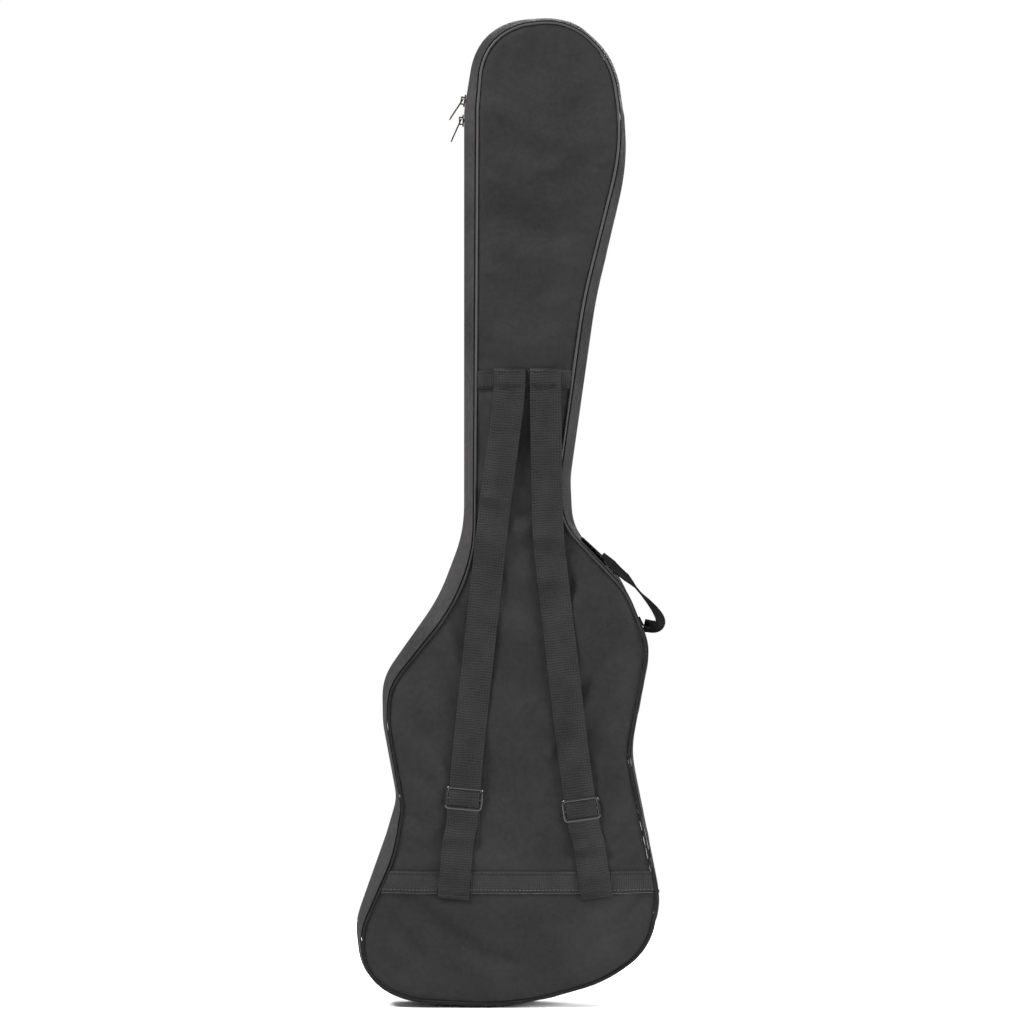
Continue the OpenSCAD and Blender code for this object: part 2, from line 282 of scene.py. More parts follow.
def modifier(obj, kind, **settings):
    m = obj.modifiers.new(kind.title(), kind)
    for key, value in settings.items():
        setattr(m, key, value)
    return m


def thicken(obj, mm, offset=-1):
    """Gives a sheet its thickness in millimetres."""
    modifier(obj, "SOLIDIFY", thickness=mm / 1000, offset=offset)
    return obj


def bake(obj):
    """Applies the modifiers."""
    dg = bpy.context.evaluated_depsgraph_get()
    mesh = bpy.data.meshes.new_from_object(obj.evaluated_get(dg))
    obj.modifiers.clear()
    obj.data = mesh
    return obj


def finish_piece(obj, material, body, *nodes, slot=None):
    """Gives a piece its material and the body that carries it, and hides the CAD nodes that it
    stands for.
    """
    obj.data.materials.clear()
    obj.data.materials.append(material)
    if nodes:
        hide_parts(*nodes)
    if body:
        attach(obj, body)
    return obj


# ---- materials
class Shader:
    """A Principled material and short ways to wire nodes into it."""

    def __init__(self, name, color, roughness, metallic=0.0, specular=0.5, sheen=0.0):
        self.material = bpy.data.materials.new(name)
        self.material.use_nodes = True
        self.tree = self.material.node_tree
        self.bsdf = self.tree.nodes["Principled BSDF"]
        for key, value in (
            ("Base Color", (*color, 1)),
            ("Roughness", roughness),
            ("Metallic", metallic),
            ("Specular IOR Level", specular),
            ("Sheen Weight", sheen),
            ("Sheen Roughness", 0.5),
        ):
            self.bsdf.inputs[key].default_value = value

    def node(self, kind, inputs=None, **settings):
        n = self.tree.nodes.new(kind)
        for key, value in settings.items():
            setattr(n, key, value)
        for key, value in (inputs or {}).items():
            if isinstance(value, bpy.types.NodeSocket):
                self.tree.links.new(value, n.inputs[key])
            else:
                n.inputs[key].default_value = value
        return n

    def math(self, operation, a, b=0.0):
        return self.node("ShaderNodeMath", {0: a, 1: b}, operation=operation).outputs[0]

    def wave(self, value, pitch):
        """Sine of a length in millimetres, with a zero at each pitch."""
        return self.math("SINE", self.math("MULTIPLY", value, math.pi / pitch))

    def blend(self, a, share_a, b, share_b):
        """Weighted sum of two values."""
        parts = [self.math("MULTIPLY", a, share_a), self.math("MULTIPLY", b, share_b)]
        return self.math("ADD", *parts)

    def link(self, value, socket):
        self.tree.links.new(value, self.bsdf.inputs[socket])

    def uv(self):
        """U and V in millimetres."""
        coords = self.node("ShaderNodeTexCoord").outputs["UV"]
        parts = self.node("ShaderNodeSeparateXYZ", {0: coords})
        return tuple(self.math("MULTIPLY", parts.outputs[k], 1000) for k in (0, 1))

    def place(self):
        return self.node("ShaderNodeTexCoord").outputs["Object"]

    def noise(self, scale, detail=3.0, roughness=0.5):
        n = self.node(
            "ShaderNodeTexNoise",
            {"Vector": self.place(), "Scale": scale, "Detail": detail, "Roughness": roughness},
        )
        return n.outputs["Fac"]

    def shade(self, factor, dark, light):
        """Base colour between two colours."""
        mix = self.node("ShaderNodeMix", {"Factor": factor}, data_type="RGBA")
        mix.inputs["A"].default_value = (*dark, 1)
        mix.inputs["B"].default_value = (*light, 1)
        self.link(mix.outputs["Result"], "Base Color")

    def spread(self, value, low, high):
        return self.node(
            "ShaderNodeMapRange", {"Value": value, "To Min": low, "To Max": high}
        ).outputs["Result"]

    def stretched(self, value):
        """The middle of a noise spread over 0 to 1."""
        limits = {"Value": value, "From Min": 0.3, "From Max": 0.7}
        return self.node("ShaderNodeMapRange", limits).outputs["Result"]

    def bump(self, *layers):
        """Stacks (height, strength, distance in mm) layers."""
        normal = None
        for height, strength, distance in layers:
            inputs = {"Height": height, "Strength": strength, "Distance": distance / 1000}
            if normal is not None:
                inputs["Normal"] = normal
            normal = self.node("ShaderNodeBump", inputs).outputs[0]
        self.link(normal, "Normal")


def tint(color, k):
    return tuple(c * k for c in color)


def woven(name, color, pitch=0.9, sheen=0.04, roughness=0.72, weave=0.35, specular=0.12):
    """Plain-weave nylon: thread bump, slow colour drift and a few paler scuffs."""
    s = Shader(name, color, roughness, specular=specular, sheen=sheen)
    u, v = s.uv()
    threads = s.math("MULTIPLY", s.wave(u, pitch), s.wave(v, pitch))
    drift = s.stretched(s.noise(7, 4, 0.6))
    grain = s.stretched(s.noise(170, 3, 0.7))
    slub = s.noise(420, 2, 0.6)
    s.shade(s.blend(drift, 0.65, grain, 0.35), tint(color, 0.45), tint(color, 1.6))
    s.link(s.spread(s.noise(30, 3), roughness - 0.08, roughness + 0.1), "Roughness")
    s.bump((threads, weave, 0.25), (slub, 0.25, 0.4), (s.noise(60, 4), 0.25, 1.2))
    return s.material


def ribbed(name, color, rib=3.2, pick=3.1, roughness=0.66, specular=0.13):
    """Webbing: picks across it, ribs along it, and fibre fuzz."""
    s = Shader(name, color, roughness, specular=specular)
    u, v = s.uv()
    ribs = s.math("ABSOLUTE", s.wave(u, rib))
    wander = s.math("MULTIPLY", s.noise(60, 2), 5.0)
    phase = s.math("ADD", s.math("MULTIPLY", v, math.pi / pick), wander)
    picks = s.math("ABSOLUTE", s.math("SINE", phase))
    fuzz = s.noise(700, 2, 0.7)
    woven_face = s.blend(ribs, 0.25, picks, 0.45)
    worn = s.math("MULTIPLY", s.stretched(s.noise(32, 4, 0.65)), 0.45)
    s.shade(s.math("ADD", woven_face, worn), tint(color, 0.15), tint(color, 2.1))
    s.link(s.spread(fuzz, roughness - 0.1, roughness + 0.15), "Roughness")
    s.bump((ribs, 0.5, 0.5), (picks, 0.7, 0.5), (fuzz, 0.3, 0.25))
    return s.material


def vinyl(name, color):
    """Smooth piping cover with fine grain: glossier and painted lighter up high as a painted
    highlight, rougher and painted darker low down as painted shade.
    """
    s = Shader(name, color, 0.5, specular=0.1)
    grain = s.noise(900, 2, 0.6)
    height = s.node("ShaderNodeSeparateXYZ", {0: s.place()}).outputs[2]
    limits = {"Value": height, "From Min": -0.35, "From Max": -0.1}
    upper = s.node("ShaderNodeMapRange", limits).outputs[0]
    # Painted highlight and shade: with height the colour goes from 0.2 to 4.2 times the base,
    # lighter on the upper piping and darker on the lower.
    s.shade(s.blend(upper, 0.75, s.noise(40, 3), 0.3), tint(color, 0.2), tint(color, 4.2))
    s.link(s.math("ADD", s.blend(upper, -0.45, grain, 0.2), 0.75), "Roughness")
    s.bump((grain, 0.2, 0.15), (s.noise(120, 3), 0.25, 0.5))
    return s.material


def moulded(name, color, roughness=0.08):
    """Glossy moulded plastic with faint flow marks and fine scratches."""
    s = Shader(name, color, roughness, specular=0.5)
    s.shade(s.noise(60, 2), tint(color, 0.8), tint(color, 1.3))
    s.link(s.spread(s.noise(260, 4, 0.7), roughness, roughness + 0.1), "Roughness")
    s.bump((s.noise(180, 3), 0.12, 0.2))
    return s.material


def plated(name, color, roughness=0.24):
    """Nickel plate with brushed streaks and worn spots."""
    s = Shader(name, color, roughness, metallic=1.0)
    wear = s.noise(240, 4, 0.65)
    s.shade(wear, tint(color, 0.72), color)
    s.link(s.spread(wear, roughness, roughness + 0.25), "Roughness")
    s.bump((s.noise(900, 2), 0.15, 0.1))
    return s.material


SHELL = woven("shell_nylon", (0.0096, 0.0094, 0.0095), sheen=0.02)
# Gusset cloth is paler than the shell: partly its own paler cloth, partly painted light that
# brightens the side walls.
GUSSET = woven("gusset_nylon", (0.021, 0.0202, 0.0204), sheen=0.0, specular=0.04)
WEBBING = ribbed("strap_webbing", (0.0058, 0.0058, 0.0057))
BANDING = ribbed("band_webbing", (0.0088, 0.0084, 0.0086), rib=2.0, pick=2.2)
HANDLE_WEB = ribbed(
    "handle_webbing", (0.0048, 0.0045, 0.0048), rib=2.6, pick=2.6, roughness=0.85, specular=0.0
)
PIPE = vinyl("piping_vinyl", (0.0095, 0.0092, 0.0095))
TAPE = woven("zip_tape_cloth", (0.011, 0.011, 0.0115), pitch=0.7, weave=0.5)
LINING = woven("lining_nylon", (0.01, 0.01, 0.011), pitch=0.5, sheen=0.1, roughness=0.6)
# Pale thread; on the lower band a close-set row of it also draws the edge's light rim as a painted
# highlight.
THREAD = woven("sewing_thread", (0.05, 0.048, 0.05), pitch=0.4, roughness=0.6)
# Dark thread; on the bands its rows also darken the edges as painted shade lines.
DARK_THREAD = woven("dark_thread", (0.003, 0.003, 0.003), pitch=0.4, roughness=0.6)
COIL = moulded("coil_nylon", (0.01, 0.01, 0.01), roughness=0.35)
BUCKLE = moulded("buckle_plastic", (0.006, 0.006, 0.006))
NICKEL = plated("dark_nickel", (0.075, 0.06, 0.05))


# ---- panels
def panel_mesh(name, line, y, step=6.0, facing=-1):
    """Flat triangulated panel inside an outline; UV is its place in the plane."""
    low, high = line.min(0), line.max(0)
    edges = np.roll(line, -1, 0) - line
    points = []
    for row, z in enumerate(np.arange(low[1], high[1], step * 0.87)):
        points += [(x, z) for x in np.arange(low[0] + (row % 2) * step / 2, high[0], step)]
    points = np.array(points)
    along = ((points[:, None] - line) * edges).sum(2) / (edges**2).sum(1)
    nearest = line + np.clip(along, 0, 1)[..., None] * edges
    away = np.linalg.norm(points[:, None] - nearest, axis=2).min(1)
    ends = np.roll(line, -1, 0)
    crossing = (line[:, 1] > points[:, None, 1]) != (ends[:, 1] > points[:, None, 1])
    with np.errstate(divide="ignore", invalid="ignore"):
        at = line[:, 0] + (points[:, None, 1] - line[:, 1]) * edges[:, 0] / edges[:, 1]
    inside = (crossing & (at > points[:, None, 0])).sum(1) % 2 == 1
    points = points[inside & (away > step * 0.55)]
    flat = [Vector(p) for p in np.concatenate([line, points])]
    rim = [(i, (i + 1) % len(line)) for i in range(len(line))]
    verts, _, faces, *_ = delaunay_2d_cdt(flat, rim, [list(range(len(line)))], 1, 1e-4)
    if facing > 0:
        faces = [tuple(reversed(f)) for f in faces]
    co = np.array([(v[0], y, v[1]) for v in verts])
    return new_object(name, co, faces, co[:, [0, 2]])


def rim_distance(obj, line):
    """Distance of each vertex from the outline, in millimetres."""
    co = vertices(obj)[:, [0, 2]]
    edges = np.roll(line, -1, 0) - line
    best = np.full(len(co), 1e9)
    for p, e in zip(line, edges):
        t = np.clip(((co - p) @ e) / (e @ e), 0, 1)
        best = np.minimum(best, np.linalg.norm(co - p - t[:, None] * e, axis=1))
    return best


def vertices(obj):
    """The mesh's vertices in millimetres."""
    co = np.empty(len(obj.data.vertices) * 3)
    obj.data.vertices.foreach_get("co", co)
    return co.reshape(-1, 3) * 1000


def set_vertices(obj, co):
    obj.data.vertices.foreach_set("co", (co / 1000).ravel())
    obj.data.update()


def slacken(obj, pinned, slack, frames=18, stiffness=4.0):
    """Runs cloth with a pinned rim and slightly too much fabric, so that it rumples by itself."""
    group = obj.vertex_groups.new(name="pin")
    group.add([int(i) for i in np.flatnonzero(pinned)], 1.0, "REPLACE")
    cloth = modifier(obj, "CLOTH").settings
    cloth.vertex_group_mass = "pin"
    cloth.quality = 6
    cloth.mass = 0.15
    cloth.tension_stiffness = 30
    cloth.compression_stiffness = 30
    cloth.shear_stiffness = 12
    cloth.bending_stiffness = stiffness
    cloth.shrink_min = -slack
    cloth.effector_weights.gravity = 0.35
    scene = bpy.context.scene
    for f in range(1, frames + 1):
        scene.frame_set(f)
    bake(obj)
    scene.frame_set(1)
    obj.vertex_groups.clear()


# Shallow hollows and swellings of the strap side: x, z, half-width, half-height, height.
HOLLOWS = [
    (137, -364, 11, 60, -4.5),
    (103, -372, 20, 75, 2.2),
    (0, -95, 12, 60, -3.5),
    (-20, -330, 40, 22, -2.4),
    (-45, -110, 7, 55, 1.8),
    (70, -262, 26, 22, 2.6),
    (-128, -420, 34, 60, 1.8),
    (124, -560, 12, 60, -2.2),
]
# Places where the buckles hold the panel down: x, z, half-width, half-height.
PRESSED = [(-79, -525, 46, 78), (64, -540, 46, 78)]
PRESSED_HEIGHT = 2.6


def bell(co, x, z, w, h, power):
    """1 at x, z and falling to nothing beyond w and h, for each point."""
    return np.exp(-(((co[:, 0] - x) / w) ** power) - ((co[:, 2] - z) / h) ** power)


def padded_panel(name, line, y, facing, crown, slack, seed, cap=5.0, hollows=(), pressed=()):
    """Padded panel: crowned from its rim, rumpled by cloth, and held within cap of the crown."""
    obj = panel_mesh(name, line, y, facing=facing)
    rim = rim_distance(obj, line)
    co = vertices(obj)
    swell = crown * (1 - np.exp(-rim / 14))
    slow = np.array([rumple((p[0], 0, p[2] * 0.7), 95, seed) for p in co])
    fine = np.array([rumple((p[0], 0, p[2] * 0.55), 34, seed + 7) for p in co])
    fade = 1 - np.exp(-rim / 18)
    for x, z, w, h, height in hollows:
        swell = swell + fade * height * bell(co, x, z, w, h, 2)
    co[:, 1] += facing * (swell + fade * (1.9 * slow + 0.8 * fine))
    set_vertices(obj, co)
    slacken(obj, rim < 0.5, slack)
    moved = vertices(obj)
    shift = moved - co
    size = np.linalg.norm(shift, axis=1, keepdims=True)
    shift *= np.minimum(1, cap / np.maximum(size, 1e-6))
    out = co + shift
    out[:, 1] = facing * np.maximum(facing * out[:, 1], facing * y - 0.4)
    for x, z, w, h in pressed:
        free = 1 - bell(co, x, z, w, h, 4)
        out[:, 1] = np.maximum(out[:, 1], -PRESSED_HEIGHT - 12 * free)
    set_vertices(obj, out)
    modifier(obj, "SMOOTH", factor=0.5, iterations=2)
    modifier(obj, "SUBSURF", levels=1, render_levels=1)
    bake(obj)
    return obj


def tube(name, path, radius, sides=8, closed=True):
    """Round cord along points in millimetres."""
    n = len(path)
    ahead, behind = np.roll(path, -1, 0), np.roll(path, 1, 0)
    if not closed:
        ahead[-1], behind[0] = path[-1], path[0]
    tangent = unit(ahead - behind)
    outwards = unit(np.cross(tangent, (0, 1, 0)))
    depth = np.cross(outwards, tangent)
    turn = np.linspace(0, 2 * math.pi, sides, endpoint=False)
    verts = (
        path[:, None]
        + radius * np.cos(turn)[None, :, None] * outwards[:, None]
        + radius * np.sin(turn)[None, :, None] * depth[:, None]
    )
    faces = []
    for i in range(n if closed else n - 1):
        for k in range(sides):
            a, b = i * sides + k, i * sides + (k + 1) % sides
            c, d = ((i + 1) % n) * sides + (k + 1) % sides, ((i + 1) % n) * sides + k
            faces.append((a, b, c, d))
    run = lengths(path)
    uvs = np.array([(k * radius, run[i]) for i in range(n) for k in range(sides)])
    return new_object(name, verts, faces, uvs)


def stitches(name, path, up, pitch=4.2, length=3.0, radius=0.42, lift=0.15):
    """A row of thread stitches along an open line; up is the surface normal there."""
    run = lengths(path)
    up = np.broadcast_to(np.asarray(up, float), path.shape)
    starts = np.arange(pitch / 2, run[-1] - length, pitch)
    turn = np.linspace(0, 2 * math.pi, 6, endpoint=False)
    verts, faces = [], []
    for s in starts:
        ends = [
            np.array([np.interp(s + d, run, path[:, k]) for k in range(3)]) for d in (0, length)
        ]
        normal = unit(np.array([np.interp(s, run, up[:, k]) for k in range(3)]))
        tangent = unit(ends[1] - ends[0])
        across = np.cross(normal, tangent)
        base = len(verts)
        for t, r, h in ((0, 0.35, -0.3), (0.25, 0.9, 0.2), (0.75, 0.9, 0.2), (1, 0.35, -0.3)):
            centre = ends[0] + (ends[1] - ends[0]) * t + normal * (lift + h * radius)
            for a in turn:
                verts.append(centre + radius * r * (math.cos(a) * across + math.sin(a) * normal))
        faces += prism_faces(base, 4)
    return new_object(name, verts, faces, np.array(verts)[:, [0, 2]])


# ---- side walls
# Places where the gusset is drawn in by its seam on the shoulders: x, z, depth of the dent.
PUCKERS = [
    (-98, -271, 3.0),
    (-132, -320, 3.2),
    (-84, -215, 2.0),
    (56, -180, 3.0),
    (-160, -505, 2.2),
]
PUCKER_SPREAD = 90


def pucker(point):
    """How far the gusset is drawn in at a point."""
    total = 0
    for x, z, h in PUCKERS:
        away = (point[0] - x) ** 2 + (point[2] - z) ** 2
        total += h * math.exp(-away / PUCKER_SPREAD)
    return total


def side_wall(name, depths, d, seed, wrinkle=1.0, skip=None):
    """Gusset cloth round the outline through the given depths, inset by d."""
    rows, uv = [], []
    for y in depths:
        line = inset(line_at(y), d)
        p = at_depth(line, y)
        run = lengths(p)
        normal = normals_of(line)
        edge = min(abs(y - depths[0]), abs(y - depths[-1])) / 8
        fade = min(1, edge)
        for i in range(len(p)):
            q = (p[i][0] * 1.6, y * 1.2, p[i][2] * 1.6)
            push = wrinkle * fade * (1.3 * rumple(q, 60, seed) + 0.8 * rumple(q, 24, seed + 3))
            push -= wrinkle * fade * pucker(p[i])
            p[i, 0] += normal[i, 0] * push
            p[i, 2] += normal[i, 1] * push
        rows.append(p)
        uv.append(np.column_stack([np.full(len(p), y), run]))
    faces = grid_faces(len(rows), len(rows[0]), True, skip)
    obj = new_object(name, rows, faces, uv)
    drop_loose(obj)
    return obj


def hinge_columns():
    """Which stretches of the outline belong to the cloth hinge."""
    centre = (MID_LINE + np.roll(MID_LINE, -1, 0)) / 2
    return (centre[:, 0] > HINGE_X) & (centre[:, 1] > HINGE_LOW) & (centre[:, 1] < HINGE_TOP)


AT_HINGE = hinge_columns()


def ring_strip(name, y0, y1, d0, d1, skip):
    """Closed band between two depths and two insets of the mid outline, with its four faces."""
    rows = [
        at_depth(inset(MID_LINE, d), y)
        for y, d in ((y0, d0), (y1, d0), (y1, d1), (y0, d1), (y0, d0))
    ]
    run = lengths(rows[0])
    uv = [np.column_stack([np.full(len(run), 3.0 * k), run]) for k in range(5)]
    faces = grid_faces(5, len(run), True, skip)
    obj = new_object(name, rows, faces, uv)
    drop_loose(obj)
    return obj


# Rings of a coil tooth, from its tape to its rounded head: reach and size.
TOOTH = [(4.0, 0.45), (3.2, 0.7), (0.6, 0.78), (-0.5, 0.75), (-0.9, 0.4)]


def tooth_row(name, teeth):
    """Coil teeth, each with its place and its axes: outwards, along the zip and to its tape."""
    verts, faces = [], []
    turn = np.linspace(0, 2 * math.pi, 6, endpoint=False)
    for place, out, along, to_tape, mirrored in teeth:
        faces += prism_faces(len(verts), len(TOOTH), mirrored)
        for reach, size in TOOTH:
            for a in turn:
                r, t = size * math.cos(a) - 0.1, 0.72 * size * math.sin(a)
                verts.append(place + reach * to_tape + r * out + t * along)
    return new_object(name, verts, faces, np.array(verts)[:, [0, 2]])


def coil_teeth(name, side):
    """Teeth of one half of the main zip, along the outline except at the cloth hinge."""
    closed = np.vstack([MID_LINE, MID_LINE[:1]])
    run = lengths(closed)
    normals = normals_of(MID_LINE)
    normals = np.vstack([normals, normals[:1]])
    to_tape = np.array((0, side, 0))
    teeth = []
    for s in np.arange(0, run[-1], TOOTH_PITCH) + (TOOTH_PITCH / 2 if side > 0 else 0):
        x, z = (np.interp(s, run, closed[:, k]) for k in (0, 1))
        if x > HINGE_X and HINGE_LOW - 4 < z < HINGE_TOP + 2:
            continue
        nx, nz = (np.interp(s, run, normals[:, k]) for k in (0, 1))
        place, out, along = np.array(((x, MID, z), (nx, 0, nz), (-nz, 0, nx)))
        teeth.append((place, out, along, to_tape, side < 0))
    return tooth_row(name, teeth)


# ---- webbing
def webbing(name, centres, across, width, thick, turned=0.0, hem=0.0):
    """Flat strap along centres, doubled over its first length turned and its last length hem."""
    centres = np.asarray(centres, float)
    across = unit(np.broadcast_to(np.asarray(across, float), centres.shape))
    ahead = np.vstack([centres[1:], centres[-1:]])
    behind = np.vstack([centres[:1], centres[:-1]])
    tangent = unit(ahead - behind)
    normal = unit(np.cross(tangent, across))
    run = lengths(centres)
    half = width / 2
    profile = [(-half, 0), (-half + 0.5, 0.5)]
    for w in np.linspace(-half + 1.2, half - 1.2, 9):
        profile.append((w, 0.5 + 0.06 * (1 - (w / half) ** 2)))
    profile += [(half - 0.5, 0.5), (half, 0), (half - 0.5, -0.5), (-half + 0.5, -0.5)]
    profile = np.array(profile)
    rows, uvs = [], []
    for i, c in enumerate(centres):
        folded = max(turned - run[i], run[i] - run[-1] + hem) / 1.5
        t = thick * (1 + min(1.0, max(0.0, folded)))
        rows.append(c + profile[:, :1] * across[i] + profile[:, 1:] * t * normal[i])
        uvs.append(np.column_stack([profile[:, 0], np.full(len(profile), run[i])]))
    n = len(profile)
    faces = grid_faces(len(centres), n, True)
    faces.append(tuple(reversed(range(n))))
    faces.append(tuple(range((len(centres) - 1) * n, len(centres) * n)))
    return new_object(name, rows, faces, uvs)


def relax(values, passes):
    """Eases the bends of an open line, or of a run of values, in place; its ends stay."""
    for _ in range(passes):
        values[1:-1] = 0.25 * values[:-2] + 0.5 * values[1:-1] + 0.25 * values[2:]


def smooth_path(points, step=5.0, passes=6):
    """Evenly spaced points along a line of points, with its bends eased."""
    p = np.asarray(points, float)
    run = lengths(p)
    s = np.linspace(0, run[-1], max(3, int(run[-1] / step) + 1))
    q = np.column_stack([np.interp(s, run, p[:, k]) for k in range(p.shape[1])])
    relax(q, passes)
    return q


# ---- back shell
def surface_tree(*objs):
    """Ray-casting tree over finished pieces, in metres."""
    verts, faces = [], []
    for o in objs:
        base = len(verts)
        verts += [v.co.copy() for v in o.data.vertices]
        faces += [[base + i for i in p.vertices] for p in o.data.polygons]
    return BVHTree.FromPolygons(verts, faces)


def surface_y(tree, x, z):
    """Depth of the back panel's outer surface at x, z, in millimetres."""
    hit = tree.ray_cast(Vector((x / 1000, -0.1, z / 1000)), Vector((0, 1, 0)))[0]
    return hit.y * 1000 if hit else 0.0


def back_panels():
    """The three panels of the strap side, joined under the two bands."""
    line = inset(BACK_LINE, PANEL_INSET)
    seams = [BAND_TOP - BAND_HEIGHT / 2, LOW_BAND_TOP - LOW_BAND_HEIGHT / 2]
    parts = [
        ("back_panel_upper", seams[0], BEYOND, 2.6, 3),
        ("back_panel_middle", seams[1], seams[0], 2.8, 11),
        ("back_panel_lower", -BEYOND, seams[1], 2.4, 23),
    ]
    panels = []
    for name, low, high, crown, seed in parts:
        shape = cut_line(line, low, high)
        piece = padded_panel(
            name + "_cloth", shape, 0.6, -1, crown, 0.012, seed, hollows=HOLLOWS, pressed=PRESSED
        )
        finish_piece(piece, SHELL, "back_shell", name, slot="shell_fabric")
        panels.append(piece)
    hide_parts("back_foam")
    return panels


def piping(name, line, y, body, node):
    """Covered cord sewn in along the edge of a large panel."""
    path = at_depth(inset(line, 1.7), y)
    path[:, 1] += [0.25 * rumple(p, 40, 5) for p in path]
    pipe = tube(name, path, 1.5, sides=10)
    finish_piece(pipe, PIPE, body, node, slot="piping")


def gusset_half(side, body, suffix):
    """Half of the gusset: cloth, its stitching, tape and coil."""
    depths = np.array([1.0, 2.5, 5, 9, 13, 17, 21, 25, 28, 30])
    if side > 0:
        depths = DEPTH - depths[::-1]
    wall = side_wall(f"gusset_{suffix}_cloth", list(depths), 0.0, 31 + side)
    thicken(wall, SKIN)
    foams = (f"body_foam_{suffix}", f"neck_foam_{suffix}")
    finish_piece(wall, GUSSET, body, f"gusset_{suffix}", *foams, slot="shell_fabric")
    inner = [DEPTH - 8, MID + 4] if side > 0 else [8, MID - 4]
    inner_depths = np.linspace(*sorted(inner), 6)
    lining = side_wall(f"gusset_{suffix}_lining_cloth", inner_depths, 6.6, 41, 0.4)
    thicken(lining, 0.5)
    finish_piece(lining, LINING, body, f"gusset_{suffix}_lining", slot="lining")
    tape_edges = (MID + side * 1.4, MID + side * 7)
    tape = ring_strip(f"zip_tape_{suffix}_cloth", *tape_edges, 1.2, 2.0, AT_HINGE)
    finish_piece(tape, TAPE, body, f"zip_tape_{suffix}", slot="zip_tape")
    teeth = coil_teeth(f"zip_coil_{suffix}_teeth", side)
    finish_piece(teeth, COIL, body, f"zip_coil_{suffix}", slot="coil")
    gusset_stitching(side, body, suffix)


def gusset_stitching(side, body, suffix):
    """Rows of stitching along the zip's tape and along the piping."""
    normals = np.insert(normals_of(MID_LINE), 1, 0, axis=1)
    seam = at_depth(inset(MID_LINE, -0.1), MID + side * 6.2)
    row = stitches(f"gusset_{suffix}_stitching", seam, normals, pitch=5.0, lift=0.35)
    finish_piece(row, THREAD, body)
    y = EDGE_SEAM if side < 0 else DEPTH - EDGE_SEAM
    edge = at_depth(inset(line_at(y), -0.2), y)
    row = stitches(f"edge_stitching_{suffix}", edge, normals, pitch=6.0, length=4.0, lift=0.3)
    finish_piece(row, DARK_THREAD, body)


def hinge_cloth():
    """Cloth of the gusset at the hinge, where the real bag bends as the lid opens; here it is built
    once in its rest shape and carried by no body.
    """
    depths = [MID - 5.2, MID - 3, MID - 1, MID + 1, MID + 3, MID + 5.2]
    piece = side_wall("side_hinge_cloth", depths, 0.0, 32, 0.3, skip=~AT_HINGE)
    thicken(piece, SKIN)
    bake(piece)
    finish_piece(piece, GUSSET, None, "side_hinge_rear", "side_hinge_front", slot="shell_fabric")
    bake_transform(piece)


BAND_ROWS = 8


def band_grid(tree, top, height):
    """Points of a band over the back panels and their seam, row by row, and how many in a row."""
    edge = cut_line(inset(BACK_LINE, PIPING - 0.4), top - height, top)
    columns = int((edge[:, 0].max() - edge[:, 0].min()) / 5)
    grid = []
    for z in np.linspace(top, top - height, BAND_ROWS):
        ends = edge[np.abs(edge[:, 1] - z) < 4, 0]
        for x in np.linspace(ends.min(), ends.max(), columns):
            sag = 0.8 * rumple((x, 0, z), 50, 91)
            above, below = surface_y(tree, x, top + 1), surface_y(tree, x, top - height - 1)
            level = below + (above - below) * (z - top + height) / height
            grid.append((x, min(level, surface_y(tree, x, z), 0.2) - 0.9, z + sag))
    return np.array(grid), columns


def bands(tree):
    """Webbing bands across the back panel, sewn along both edges and bridging its seams."""
    strips = []
    for name, top, height, thread in (
        ("harness_band", BAND_TOP, BAND_HEIGHT, DARK_THREAD),
        ("lower_band", LOW_BAND_TOP, LOW_BAND_HEIGHT, THREAD),
    ):
        grid, columns = band_grid(tree, top, height)
        uvs = np.column_stack([grid[:, 2], grid[:, 0]])
        faces = grid_faces(BAND_ROWS, columns, False)
        strip = new_object(name + "_webbing", grid, faces, uvs)
        modifier(strip, "SMOOTH", factor=0.5, iterations=2)
        thicken(strip, 1.3, offset=0)
        modifier(strip, "BEVEL", width=0.0003, segments=1)
        bake(strip)
        strips.append(finish_piece(strip, BANDING, "back_shell", name, slot="webbing"))
        # Real stitching that is partly painted light: dark thread rows also darken the band's edges
        # as painted shade lines. On the lower band only the top row is dark, and its close-set pale
        # bottom row also draws the lower edge's light rim as a painted highlight.
        for k, row, pitch, length in ((0, 1, 4.6, 3.0), (1, 6, 4.6, 3.0), (2, 7, 3.0, 2.7)):
            line = grid[row * columns : (row + 1) * columns] + np.array((0, -0.85, 0))
            sewn = stitches(f"{name}_stitching_{k}", line, (0, -1, 0), pitch=pitch, length=length)
            finish_piece(sewn, thread if k else DARK_THREAD, "back_shell")
    return strips


# ---- straps
# Folds in each strap: height, half-length along it, how far the strap stands off there.
FOLDS = [
    [
        (-75, 45, 4.5), (-155, 8, 6.5), (-208, 20, 6.0),
        (-330, 50, 2.4), (-566, 7, 4.6), (-603, 12, 1.6),
    ],
    [
        (-75, 45, 5.5), (-202, 9, 6.5), (-256, 12, 5.0),
        (-380, 50, 2.4), (-578, 5.5, 4.6), (-612, 12, 1.8),
    ],
]


def strap_bend(i, z):
    """How far a strap stands off the panel at height z, from its own folds."""
    return sum(h * math.exp(-(((z - c) / w) ** 2)) for c, w, h in FOLDS[i])


def tail_shift(i, z):
    """Sideways shift of the strap's loose tail, which lies a little askew below its kink."""
    return (-2.6, 3.4)[i] / (1 + math.exp((z + 562) / 3.5))


def share_below(z, start, length):
    """0 above the height start, 1 at length below it, and even between."""
    return min(1.0, max(0.0, (start - z) / length))


def strap_depth(skin_y, z):
    """Depth of a strap's centre: sewn on at its top, then loose, then held by the buckle."""
    sewn = skin_y - SEWN_GAP
    loose = min(skin_y - LOOSE_GAP, STRAP_DEPTH)
    slope = -STRAP_RISE / (STRAP_TOP - BUCKLE_Z[0])
    held = min(STRAP_DEPTH + (STRAP_TOP - z) * slope, skin_y - LOOSE_GAP)
    off = share_below(z, -14, 30)
    near = share_below(z, -430, 60)
    return (1 - near) * ((1 - off) * sewn + off * loose) + near * held


